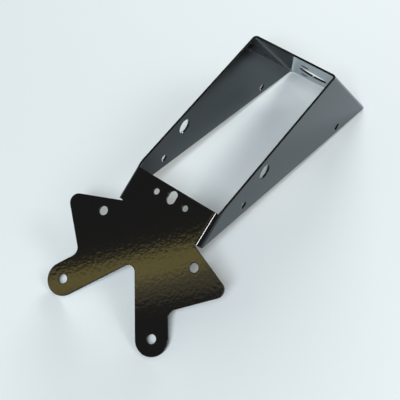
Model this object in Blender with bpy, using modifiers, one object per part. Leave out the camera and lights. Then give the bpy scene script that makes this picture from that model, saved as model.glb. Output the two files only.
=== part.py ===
# Motorbike license plate holder: one piece of 1.5 mm sheet steel, cut as a flat blank,
# folded at the neck and at the far corners, and coated gloss black.
#
# Sizes are in millimetres. The blank is drawn on its outer face, right half only: the first
# number runs across from the middle line, the second along the plate from the leg tips.
# It is thickened, folded into the plate frame (across, along, out of the front), scaled to
# metres, mirrored, drilled, and laid down at rest on the leg tips and the end wall.

import math

import bmesh
import bpy
from mathutils import Matrix, Vector

MM = 0.001

# Sheet and folds
SHEET = 1.5
FRAME_WIDTH = 70.0
NECK_FOLD_RADIUS = 4.5
FAR_FOLD_RADIUS = 3.0

# Number plate seat: bolt pattern, legs and ears
PLATE_HOLE = 6.4
PLATE_HOLE_SPAN = 77.0
EAR_HOLE_RISE = 53.5
LEG_HALF_WIDTH = 11.5
LEG_SPREAD = math.radians(34.0)
CROTCH_RADIUS = 5.0
EAR_LOWER_REACH = 23.2
EAR_LOWER_SLOPE = math.radians(45.0)
EAR_UPPER_SLOPE = math.radians(20.5)
EAR_RADIUS = 6.0
ARMPIT_RADIUS = 6.0

# Neck: relief slits at its foot, counted from the ear holes, and its own holes from the slits
SLIT_RISE = 13.0
SLIT_ROUND = 0.25
NECK_LENGTH = 24.6
NECK_HOLE = 4.3
NECK_HOLE_SPAN = 24.0
NECK_HOLE_RISE = 16.6
NECK_SLOT_RISE = 18.3
NECK_SLOT_WIDTH = 6.2
NECK_SLOT_LENGTH = 9.5
WINDOW_CORNER_RADIUS = 1.0

# Side walls: their edges leave the neck fold this far past the window edge and the slits
WALL_TOP_STEP = 6.4
WALL_FOOT_STEP = 0.3
WALL_TIP_RADIUS = 2.0
WALL_TOP_RADIUS = 4.0
WALL_FOOT_RADIUS = 3.0

# Side wall holes, from the window edge along the wall and down from the plate's front
WALL_BOLT = 5.5
INDICATOR_HOLE = 11.0
NEAR_BOLT_ALONG = 13.7
NEAR_BOLT_DEPTH = 29.3
INDICATOR_ALONG = 40.1
INDICATOR_DEPTH = 31.5
FAR_BOLT_ALONG = 100.5
FAR_BOLT_DEPTH = 115.0

# End wall: its top edge, its height, its lean off square, and its holes down from that edge
WINDOW_LENGTH = 124.4
END_TOP_DEPTH = 57.7
END_HEIGHT = 94.0
END_LEAN = math.radians(3.0)
END_BOLT = 6.5
UPPER_BOLT_DROP = 28.0
CABLE_OPENING = 24.0
CABLE_DROP = 52.0
LOWER_BOLT_DROP = 76.0
LOWER_BOLT_SPAN = 31.0

# Coat
COAT_COLOR = (0.012, 0.012, 0.012, 1.0)
COAT_ROUGHNESS = 0.15

# Smoothness. The drill has two sides more than a multiple of four, so that none of its
# corners lies on the line where the slot is pulled apart.
FOLD_STEPS = 12
ARC_STEP = math.radians(7.5)
SHARP_ANGLE = math.radians(30.0)
DRILL_SIDES = 46
DRILL_PAST = 3.0
MERGE = 0.001
CUT_SNAP = 0.00001

WALL_X = FRAME_WIDTH / 2
EAR_HOLE_ALONG = LEG_HALF_WIDTH + EAR_HOLE_RISE
SLIT_ALONG = EAR_HOLE_ALONG + SLIT_RISE
WINDOW_ALONG = SLIT_ALONG + NECK_LENGTH
NECK_FOLD_START = WALL_X - NECK_FOLD_RADIUS
NECK_FOLD_LENGTH = NECK_FOLD_RADIUS * math.pi / 2
NECK_FOLD_END = NECK_FOLD_START + NECK_FOLD_LENGTH
FAR_FOLD_LENGTH = FAR_FOLD_RADIUS * math.pi / 2
END_DOWN = Vector((math.sin(END_LEAN), -math.cos(END_LEAN)))
END_OUT = Vector((math.cos(END_LEAN), math.sin(END_LEAN)))
END_TOP = Vector((WINDOW_ALONG + WINDOW_LENGTH, -END_TOP_DEPTH))
END_FOOT = END_TOP + END_HEIGHT * END_DOWN
FAR_FOLD_START = END_TOP.dot(END_OUT) - FAR_FOLD_RADIUS


def crossing(point_a, way_a, point_b, way_b):
    # Where two straight lines of the blank meet
    reach = way_b.cross(point_b - point_a) / way_b.cross(way_a)
    return point_a + reach * way_a


def rounded_corner(before, corner, after, radius):
    # The arc that replaces a corner, from the side of the point before it
    to_before = (before - corner).normalized()
    to_after = (after - corner).normalized()
    half_angle = to_before.angle(to_after) / 2
    centre = corner + (to_before + to_after).normalized() * radius / math.sin(half_angle)
    start = corner + to_before * radius / math.tan(half_angle) - centre
    end = corner + to_after * radius / math.tan(half_angle) - centre
    turn = start.angle_signed(end)
    steps = 2 * max(1, math.ceil(abs(turn) / ARC_STEP / 2))
    return [
        centre + Matrix.Rotation(-turn * step / steps, 2) @ start for step in range(steps + 1)
    ]


def on_blank(along, depth):
    # A point of the side wall, laid flat beside the neck
    return Vector((NECK_FOLD_END + depth - NECK_FOLD_RADIUS, along))


def past_far_fold(out, point):
    # A point level with the given one, but this far past the start of the far fold
    level = point + (FAR_FOLD_START + out - point.dot(END_OUT)) * END_OUT
    return on_blank(level.x, -level.y)


def blank_outline():
    # Corners of the right half, from the crotch round to the top of the neck
    leg_way = Vector((math.sin(LEG_SPREAD), -math.cos(LEG_SPREAD)))
    leg_side = Vector((math.cos(LEG_SPREAD), math.sin(LEG_SPREAD)))
    leg_hole = Vector((PLATE_HOLE_SPAN / 2, LEG_HALF_WIDTH))
    leg_end = leg_hole + LEG_HALF_WIDTH * leg_way
    inner_end = leg_end - LEG_HALF_WIDTH * leg_side
    outer_end = leg_end + LEG_HALF_WIDTH * leg_side
    upright = Vector((0.0, 1.0))
    crotch = crossing(inner_end, leg_way, Vector((0.0, 0.0)), upright)

    ear_low_way = Vector((math.cos(EAR_LOWER_SLOPE), math.sin(EAR_LOWER_SLOPE)))
    ear_top_way = Vector((math.cos(EAR_UPPER_SLOPE), -math.sin(EAR_UPPER_SLOPE)))
    ear_low_side = Vector((math.sin(EAR_LOWER_SLOPE), -math.cos(EAR_LOWER_SLOPE)))
    ear_hole = Vector((PLATE_HOLE_SPAN / 2, EAR_HOLE_ALONG))
    ear_low_point = ear_hole + EAR_LOWER_REACH * ear_low_side
    armpit = crossing(outer_end, leg_way, ear_low_point, ear_low_way)
    slit_reach = SLIT_ROUND / math.tan(EAR_UPPER_SLOPE / 2)
    slit = Vector((NECK_FOLD_START - slit_reach, SLIT_ALONG))
    ear_tip = crossing(slit, ear_top_way, ear_low_point, ear_low_way)

    foot_start = on_blank(SLIT_ALONG + WALL_FOOT_STEP, NECK_FOLD_RADIUS)
    foot_end = on_blank(END_FOOT.x, -END_FOOT.y)
    level = Vector((1.0, 0.0))
    wall_tip = crossing(foot_start, foot_end - foot_start, slit, level)
    seam_out = FAR_FOLD_LENGTH + WALL_X - FAR_FOLD_RADIUS
    seam_foot = past_far_fold(seam_out, END_FOOT)
    seam_top = past_far_fold(seam_out, END_TOP)
    top_start = on_blank(WINDOW_ALONG + WALL_TOP_STEP, NECK_FOLD_RADIUS)
    top_end = on_blank(END_TOP.x, -END_TOP.y)
    neck_top = Vector((0.0, WINDOW_ALONG))
    window_corner = crossing(top_start, top_end - top_start, neck_top, level)

    mirrored_inner_end = Vector((-inner_end.x, inner_end.y))
    crotch_arc = rounded_corner(mirrored_inner_end, crotch, inner_end, CROTCH_RADIUS)
    outline = crotch_arc[len(crotch_arc) // 2 :]
    outline[0].x = 0.0
    corners = (
        (inner_end, LEG_HALF_WIDTH),
        (outer_end, LEG_HALF_WIDTH),
        (armpit, ARMPIT_RADIUS),
        (ear_tip, EAR_RADIUS),
        (slit, SLIT_ROUND),
        (wall_tip, WALL_TIP_RADIUS),
        (foot_end, WALL_FOOT_RADIUS),
        (seam_foot, 0.0),
        (seam_top, 0.0),
        (top_end, WALL_TOP_RADIUS),
        (window_corner, WINDOW_CORNER_RADIUS),
        (neck_top, 0.0),
    )
    points = [crotch] + [point for point, radius in corners]
    for index, (point, radius) in enumerate(corners, start=1):
        if radius:
            outline += rounded_corner(points[index - 1], point, points[index + 1], radius)
        else:
            outline.append(point)
    return outline


def round_fold(past, depth, radius):
    # Travel onward and to the side, this far round a fold made of narrow flats
    flats = min(past / (radius * math.pi / 2), 1.0) * FOLD_STEPS
    first = min(int(flats), FOLD_STEPS - 1)
    reach = radius - depth
    ends = []
    for flat in (first, first + 1):
        turn = flat / FOLD_STEPS * math.pi / 2
        ends.append(Vector((reach * math.sin(turn), radius - reach * math.cos(turn))))
    return ends[0].lerp(ends[1], flats - first)


def fold_neck(point):
    # Carries a point of the blank round the neck fold, giving x, p and n
    past = point.x - NECK_FOLD_START
    if past <= 0 or point.y < SLIT_ALONG - SLIT_ROUND / 2:
        return point
    onward, drop = round_fold(past, -point.z, NECK_FOLD_RADIUS)
    straight = max(0.0, past - NECK_FOLD_LENGTH)
    return Vector((NECK_FOLD_START + onward, point.y, -drop - straight))


def fold_far(point):
    # Carries a side wall point round the far fold, towards the middle
    flat = Vector((point.y, point.z))
    past = flat.dot(END_OUT) - FAR_FOLD_START
    if past <= 0:
        return point
    onward, inward = round_fold(past, WALL_X - point.x, FAR_FOLD_RADIUS)
    straight = max(0.0, past - FAR_FOLD_LENGTH)
    flat += (onward - past) * END_OUT
    return Vector((WALL_X - inward - straight, flat.x, flat.y))


def cut_across(bm, faces, point, normal):
    # Adds an edge along a straight line, so that the sheet can bend there
    edges = {edge for face in faces for edge in face.edges}
    corners = {corner for face in faces for corner in face.verts}
    bmesh.ops.bisect_plane(
        bm,
        geom=list(faces) + list(edges) + list(corners),
        plane_co=point,
        plane_no=normal,
        dist=CUT_SNAP,
    )


def past_slit(bm):
    # The faces that the neck fold carries: beyond its start and above the slit
    return [
        face
        for face in bm.faces
        if face.calc_center_bounds().y > SLIT_ALONG
        and max(corner.co.x for corner in face.verts) > NECK_FOLD_START + MERGE
    ]


def folded_half():
    # The right half in the plate frame, in millimetres, open where the halves meet
    bm = bmesh.new()
    corners = [bm.verts.new((point.x, point.y, 0.0)) for point in blank_outline()]
    rim = [bm.edges.new(pair) for pair in zip(corners, corners[1:] + corners[:1])]
    bmesh.ops.remove_doubles(bm, verts=corners, dist=MERGE)
    bmesh.ops.contextual_create(bm, geom=[edge for edge in rim if edge.is_valid])
    across = Vector((1.0, 0.0, 0.0))
    cut_across(bm, list(bm.faces), Vector((NECK_FOLD_START, 0.0, 0.0)), across)
    for step in range(1, FOLD_STEPS + 1):
        line = NECK_FOLD_START + NECK_FOLD_LENGTH * step / FOLD_STEPS
        cut_across(bm, past_slit(bm), Vector((line, 0.0, 0.0)), across)
    out_on_blank = Vector((-END_OUT.y, END_OUT.x, 0.0))
    for step in range(FOLD_STEPS + 1):
        line = past_far_fold(FAR_FOLD_LENGTH * step / FOLD_STEPS, END_TOP)
        cut_across(bm, past_slit(bm), line.to_3d(), out_on_blank)
    thickened = bmesh.ops.extrude_face_region(bm, geom=list(bm.faces), use_keep_orig=True)
    underside = [item for item in thickened["geom"] if isinstance(item, bmesh.types.BMVert)]
    bmesh.ops.translate(bm, vec=(0.0, 0.0, -SHEET), verts=underside)
    bmesh.ops.recalc_face_normals(bm, faces=bm.faces)
    for corner in bm.verts:
        corner.co = fold_far(fold_neck(corner.co))
    middle = [face for face in bm.faces if all(corner.co.x < MERGE for corner in face.verts)]
    bmesh.ops.delete(bm, geom=middle, context="FACES")
    return bm


def new_object(name, mesh, collection):
    item = bpy.data.objects.new(name, mesh)
    collection.objects.link(item)
    return item


def drill(name, centre, way, diameter, depth, collection):
    # A cutter with its middle at the centre, in the plate frame
    bm = bmesh.new()
    bmesh.ops.create_cone(
        bm,
        cap_ends=True,
        segments=DRILL_SIDES,
        radius1=diameter / 2 * MM,
        radius2=diameter / 2 * MM,
        depth=depth * MM,
    )
    mesh = bpy.data.meshes.new(name)
    bm.to_mesh(mesh)
    bm.free()
    cutter = new_object(name, mesh, collection)
    cutter.location = centre * MM
    cutter.rotation_euler = Vector(way).to_track_quat("Z", "Y").to_euler()
    cutter.hide_render = True
    cutter.display_type = "WIRE"
    return cutter


def make_cutters(collection):
    # Every hole goes square through its sheet, the side wall holes through both walls
    through_plate = (0.0, 0.0, 1.0)
    through_walls = (1.0, 0.0, 0.0)
    through_end = (0.0, END_OUT.x, END_OUT.y)
    short = SHEET + 2 * DRILL_PAST
    mid_sheet = -SHEET / 2

    plate_x = PLATE_HOLE_SPAN / 2
    neck_x = NECK_HOLE_SPAN / 2
    neck_along = SLIT_ALONG + NECK_HOLE_RISE
    for name, across, along, diameter in (
        ("left_leg_hole", -plate_x, LEG_HALF_WIDTH, PLATE_HOLE),
        ("right_leg_hole", plate_x, LEG_HALF_WIDTH, PLATE_HOLE),
        ("left_ear_hole", -plate_x, EAR_HOLE_ALONG, PLATE_HOLE),
        ("right_ear_hole", plate_x, EAR_HOLE_ALONG, PLATE_HOLE),
        ("left_neck_hole", -neck_x, neck_along, NECK_HOLE),
        ("right_neck_hole", neck_x, neck_along, NECK_HOLE),
    ):
        centre = Vector((across, along, mid_sheet))
        drill(name, centre, through_plate, diameter, short, collection)

    centre = Vector((0.0, SLIT_ALONG + NECK_SLOT_RISE, mid_sheet))
    slot = drill("neck_slot", centre, through_plate, NECK_SLOT_WIDTH, short, collection)
    pull = (NECK_SLOT_LENGTH - NECK_SLOT_WIDTH) / 2 * MM
    for corner in slot.data.vertices:
        corner.co.y += math.copysign(pull, corner.co.y)

    for name, along, depth, diameter in (
        ("near_bolt_holes", NEAR_BOLT_ALONG, NEAR_BOLT_DEPTH, WALL_BOLT),
        ("indicator_holes", INDICATOR_ALONG, INDICATOR_DEPTH, INDICATOR_HOLE),
        ("far_bolt_holes", FAR_BOLT_ALONG, FAR_BOLT_DEPTH, WALL_BOLT),
    ):
        centre = Vector((0.0, WINDOW_ALONG + along, -depth))
        drill(name, centre, through_walls, diameter, FRAME_WIDTH + short, collection)

    for name, across, drop, diameter in (
        ("upper_bolt_hole", 0.0, UPPER_BOLT_DROP, END_BOLT),
        ("cable_opening", 0.0, CABLE_DROP, CABLE_OPENING),
        ("left_lower_bolt_hole", -LOWER_BOLT_SPAN / 2, LOWER_BOLT_DROP, END_BOLT),
        ("right_lower_bolt_hole", LOWER_BOLT_SPAN / 2, LOWER_BOLT_DROP, END_BOLT),
    ):
        flat = END_TOP + drop * END_DOWN + mid_sheet * END_OUT
        drill(name, Vector((across, flat.x, flat.y)), through_end, diameter, short, collection)


def black_coat():
    material = bpy.data.materials.new("gloss_black_coat")
    material.use_nodes = True
    shader = material.node_tree.nodes["Principled BSDF"]
    shader.inputs["Base Color"].default_value = COAT_COLOR
    shader.inputs["Roughness"].default_value = COAT_ROUGHNESS
    shader.inputs["Metallic"].default_value = 0.0
    return material


def resting_tilt():
    # The angle at which the leg tips and the foot of the end wall touch one floor
    foot = END_FOOT - SHEET * END_OUT
    return math.atan2(-foot.y - SHEET, foot.x)


def make_holder():
    name = "plate_bracket"
    parts = bpy.data.collections.new("license_plate_holder")
    cutting = bpy.data.collections.new("license_plate_holder_cutters")
    bpy.context.scene.collection.children.link(parts)
    bpy.context.scene.collection.children.link(cutting)

    bm = folded_half()
    bmesh.ops.scale(bm, vec=(MM, MM, MM), verts=bm.verts)
    mesh = bpy.data.meshes.new(name)
    bm.to_mesh(mesh)
    bm.free()
    mesh.materials.append(black_coat())
    bracket = new_object(name, mesh, parts)

    mirror = bracket.modifiers.new("other_half", "MIRROR")
    mirror.merge_threshold = MERGE * MM
    holes = bracket.modifiers.new("holes", "BOOLEAN")
    holes.operation = "DIFFERENCE"
    holes.solver = "EXACT"
    holes.operand_type = "COLLECTION"
    holes.collection = cutting
    mesh.shade_smooth()
    mesh.set_sharp_from_angle(angle=SHARP_ANGLE)

    make_cutters(cutting)
    for cutter in cutting.objects:
        cutter.parent = bracket
    bracket.rotation_euler.x = resting_tilt()
    settle(bracket)


def settle(bracket):
    # Lowers the tilted piece to the floor and puts the origin at the middle of its length
    bpy.context.view_layer.update()
    graph = bpy.context.evaluated_depsgraph_get()
    solid = bracket.evaluated_get(graph)
    mesh = solid.to_mesh()
    world = [bracket.matrix_world @ corner.co for corner in mesh.vertices]
    solid.to_mesh_clear()
    lengthwise = [point.y for point in world]
    bracket.location.y = -(min(lengthwise) + max(lengthwise)) / 2
    bracket.location.z = -min(point.z for point in world)
    bpy.context.view_layer.update()


for old in list(bpy.data.objects):
    bpy.data.objects.remove(old, do_unlink=True)
make_holder()
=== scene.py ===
import math

import bpy
from mathutils import Euler, Matrix, Vector

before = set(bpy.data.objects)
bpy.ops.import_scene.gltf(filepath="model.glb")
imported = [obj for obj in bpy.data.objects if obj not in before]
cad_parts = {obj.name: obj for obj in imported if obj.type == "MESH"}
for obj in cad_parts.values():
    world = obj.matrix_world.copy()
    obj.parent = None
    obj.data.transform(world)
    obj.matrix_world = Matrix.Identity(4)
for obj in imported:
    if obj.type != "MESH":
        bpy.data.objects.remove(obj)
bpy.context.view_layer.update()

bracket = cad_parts["plate_bracket"]
scene = bpy.context.scene


def addNode(tree, kind, **settings):
    node = tree.nodes.new(kind)
    for name, value in settings.items():
        if name in node.inputs:
            node.inputs[name].default_value = value
        else:
            setattr(node, name, value)
    return node


# The coat: gloss black powder with a fine orange peel, rounded over the cut edges
coatLook = {
    "color": (0.0030, 0.0031, 0.0033, 1.0),
    "roughness": 0.06,
    "ior": 1.46,
    "peelScale": 420.0,
    "peelDetail": 1.0,
    "grainScale": 1100.0,
    "grainDetail": 2.0,
    "grainShare": 0.3,
    "peelStrength": 0.3,
    "peelDistance": 0.0001,
    "edgeRound": 0.00065,
    "edgeSamples": 8,
}


def makeCoat(look):
    material = bpy.data.materials.new("glossBlackCoat")
    material.use_nodes = True
    tree = material.node_tree
    shader = tree.nodes["Principled BSDF"]
    shader.inputs["Base Color"].default_value = look["color"]
    shader.inputs["Roughness"].default_value = look["roughness"]
    shader.inputs["IOR"].default_value = look["ior"]
    place = addNode(tree, "ShaderNodeTexCoord")
    peel = addNode(
        tree, "ShaderNodeTexNoise", Scale=look["peelScale"], Detail=look["peelDetail"]
    )
    grain = addNode(
        tree, "ShaderNodeTexNoise", Scale=look["grainScale"], Detail=look["grainDetail"]
    )
    both = addNode(tree, "ShaderNodeMix", data_type="FLOAT")
    both.inputs["Factor"].default_value = look["grainShare"]
    bump = addNode(
        tree, "ShaderNodeBump", Strength=look["peelStrength"], Distance=look["peelDistance"]
    )
    edge = addNode(
        tree, "ShaderNodeBevel", samples=look["edgeSamples"], Radius=look["edgeRound"]
    )
    link = tree.links.new
    link(place.outputs["Object"], peel.inputs["Vector"])
    link(place.outputs["Object"], grain.inputs["Vector"])
    link(peel.outputs["Fac"], both.inputs["A"])
    link(grain.outputs["Fac"], both.inputs["B"])
    link(both.outputs["Result"], bump.inputs["Height"])
    link(edge.outputs["Normal"], bump.inputs["Normal"])
    link(bump.outputs["Normal"], shader.inputs["Normal"])
    return material


bracket.data.materials.clear()
bracket.data.materials.append(makeCoat(coatLook))
print("coat done")

# The faces: flat where the sheet is flat, smooth round the folds and in the holes
bracketFaces = {
    "weld": 0.000002,
    "crease": 35.0,  # degrees, past which an edge stays sharp
}
weld = bracket.modifiers.new("weld", "WELD")
weld.merge_threshold = bracketFaces["weld"]
creases = bracket.modifiers.new("creases", "EDGE_SPLIT")
creases.split_angle = math.radians(bracketFaces["crease"])
creases.use_edge_sharp = False
bracket.data.shade_smooth()
even = bracket.modifiers.new("evenNormals", "WEIGHTED_NORMAL")
even.keep_sharp = True
print("faces done")

# The table top under it, pale and plain, with a painted cooler tone where the coat mirrors
# it
paleBlue = (0.79, 0.86, 0.89, 1.0)  # the table top and the backdrop
floorLook = {
    "size": 1.8,
    "height": -0.0002,
    "color": paleBlue,
    # painted reflection tone: the table top turns cooler and bluer only where the coat
    # mirrors it, a colour it doesn't have under the lamps
    "mirrored": (0.77, 0.90, 0.98, 1.0),  # the cooler tone that the coat shows of it
    "roughness": 0.85,
    "specular": 0.1,
}
bpy.ops.mesh.primitive_plane_add(
    size=floorLook["size"], location=(0.0, 0.0, floorLook["height"])
)
floor = bpy.context.object
floor.name = "tableTop"
floorMaterial = bpy.data.materials.new("tableTop")
floorMaterial.use_nodes = True
floorTree = floorMaterial.node_tree
floorShader = floorTree.nodes["Principled BSDF"]
floorPath = addNode(floorTree, "ShaderNodeLightPath")
floorToneAndPaintedReflection = addNode(floorTree, "ShaderNodeMix", data_type="RGBA")
floorToneAndPaintedReflection.inputs[6].default_value = floorLook["color"]  # 6, 7 and output 2 carry the colours
floorToneAndPaintedReflection.inputs[7].default_value = floorLook["mirrored"]
# painted reflection: glossy rays see the cooler tone, so the coat's reflections of the table
# top are tinted bluer
floorTree.links.new(floorPath.outputs["Is Glossy Ray"], floorToneAndPaintedReflection.inputs[0])
floorTree.links.new(floorToneAndPaintedReflection.outputs[2], floorShader.inputs["Base Color"])
floorShader.inputs["Roughness"].default_value = floorLook["roughness"]
floorShader.inputs["Specular IOR Level"].default_value = floorLook["specular"]
floor.data.materials.append(floorMaterial)
print("floor done")


# Lights: the way to each card in degrees round and above the floor, its distance, what it
# faces, the way of its longer side, its sides in metres, its brightness as seen in a mirror
# and its colour
bracketMiddle = (0.0, -0.02, 0.0)
plateMiddle = (0.0, -0.097, 0.029)
lights = {
    "frontCard": {
        "round": -62.0,
        "above": 51.0,
        "distance": 2.1,
        "faces": bracketMiddle,
        "longWay": (0.613, 0.137, -0.279),
        "size": (0.28, 0.76),
        "radiance": 43.0,
        "color": (0.91, 0.96, 0.99),
    },
    "rightCard": {
        "round": 25.0,
        "above": 45.0,
        "distance": 1.5,
        "faces": bracketMiddle,
        "longWay": (-0.423, 0.906, 0.0),
        "size": (0.70, 0.50),
        "radiance": 4.2,
        "color": (1.0, 0.92, 0.88),
    },
    "backCard": {
        "round": 113.0,
        "above": 17.0,
        "distance": 1.4,
        "faces": bracketMiddle,
        "longWay": (-0.921, -0.391, 0.0),
        "size": (0.74, 0.34),
        "radiance": 16.8,
        "color": (1.0, 1.0, 0.98),
    },
    # The plate mirrors this strip as a gold band, and the next as its soft lower edge
    "warmStrip": {
        "round": -124.3,
        "above": 45.0,
        "distance": 1.3,
        "faces": plateMiddle,
        "longWay": (0.681, 0.454, 0.575),
        "size": (0.70, 0.050),
        "radiance": 2.45,
        "color": (1.0, 0.83, 0.25),
    },
    "warmFade": {
        "round": -124.3,
        "above": 45.0,
        "distance": 1.3,
        "faces": (0.127, -0.074, 0.119),
        "longWay": (0.668, 0.344, 0.661),
        "size": (0.36, 0.050),
        "radiance": 0.9,
        "color": (1.0, 0.85, 0.45),
    },
}


def addLight(name, look):
    turn, rise = math.radians(look["round"]), math.radians(look["above"])
    level = math.cos(rise)
    back = Vector((math.cos(turn) * level, math.sin(turn) * level, math.sin(rise)))
    longWay = Vector(look["longWay"])
    longWay = (longWay - longWay.dot(back) * back).normalized()
    width, depth = look["size"]
    data = bpy.data.lights.new(name, "AREA")
    data.shape = "RECTANGLE"
    data.size = width
    data.size_y = depth
    data.energy = look["radiance"] * math.pi * width * depth
    data.color = look["color"]
    lamp = bpy.data.objects.new(name, data)
    scene.collection.objects.link(lamp)
    lamp.location = Vector(look["faces"]) + look["distance"] * back
    axes = Matrix((longWay, back.cross(longWay), back)).transposed()
    lamp.rotation_euler = axes.to_euler()
    lamp.visible_camera = False


for name, look in lights.items():
    addLight(name, look)

# The end wall throws some of the front light back on to the floor at its foot
footGlow = {
    "place": (0.44, -0.71, 1.17),
    "faces": (-0.012, 0.131, 0.0),
    "angle": 1.6,
    "blend": 0.9,
    "soft": 0.02,
    "watts": 38.0,
}
glow = bpy.data.lights.new("footGlow", "SPOT")
glow.spot_size = math.radians(footGlow["angle"])
glow.spot_blend = footGlow["blend"]
glow.shadow_soft_size = footGlow["soft"]
glow.energy = footGlow["watts"]
glowLamp = bpy.data.objects.new("footGlow", glow)
scene.collection.objects.link(glowLamp)
glowLamp.location = footGlow["place"]
glowWay = Vector(footGlow["faces"]) - glowLamp.location
glowLamp.rotation_euler = glowWay.to_track_quat("-Z", "Y").to_euler()
glowLamp.visible_camera = False

# The room: dim and a little warm on the bracket, pale behind the table top
roomLook = {
    "color": (1.0, 0.96, 0.92, 1.0),
    "strength": 0.195,
    "backdrop": paleBlue,
}
world = bpy.data.worlds.new("studio")
scene.world = world
world.use_nodes = True
worldTree = world.node_tree
room = worldTree.nodes["Background"]
room.inputs["Color"].default_value = roomLook["color"]
room.inputs["Strength"].default_value = roomLook["strength"]
backdrop = addNode(
    worldTree, "ShaderNodeBackground", Color=roomLook["backdrop"], Strength=1.0
)
chooser = addNode(worldTree, "ShaderNodeMixShader")
lightPath = addNode(worldTree, "ShaderNodeLightPath")
worldOutput = worldTree.nodes["World Output"]
worldTree.links.new(lightPath.outputs["Is Camera Ray"], chooser.inputs["Fac"])
worldTree.links.new(room.outputs["Background"], chooser.inputs[1])
worldTree.links.new(backdrop.outputs["Background"], chooser.inputs[2])
worldTree.links.new(chooser.outputs["Shader"], worldOutput.inputs["Surface"])
print("lights done")

# The camera, solved from the photograph
cameraLook = {
    "place": (0.27112, -0.37931, 0.57174),
    "down": 51.0850,  # degrees below level
    "round": 37.6297,
    "sensor": 36.0,
    "lens": 91.254,
    "nearest": 0.01,
}
cameraData = bpy.data.cameras.new("photoView")
cameraData.sensor_width = cameraLook["sensor"]
cameraData.lens = cameraLook["lens"]
cameraData.clip_start = cameraLook["nearest"]
camera = bpy.data.objects.new("photoView", cameraData)
camera.location = cameraLook["place"]
cameraTilt = math.radians(90 - cameraLook["down"])
camera.rotation_euler = Euler((cameraTilt, 0.0, math.radians(cameraLook["round"])))
scene.collection.objects.link(camera)
scene.camera = camera
scene.view_settings.view_transform = "Standard"

print("camera done")
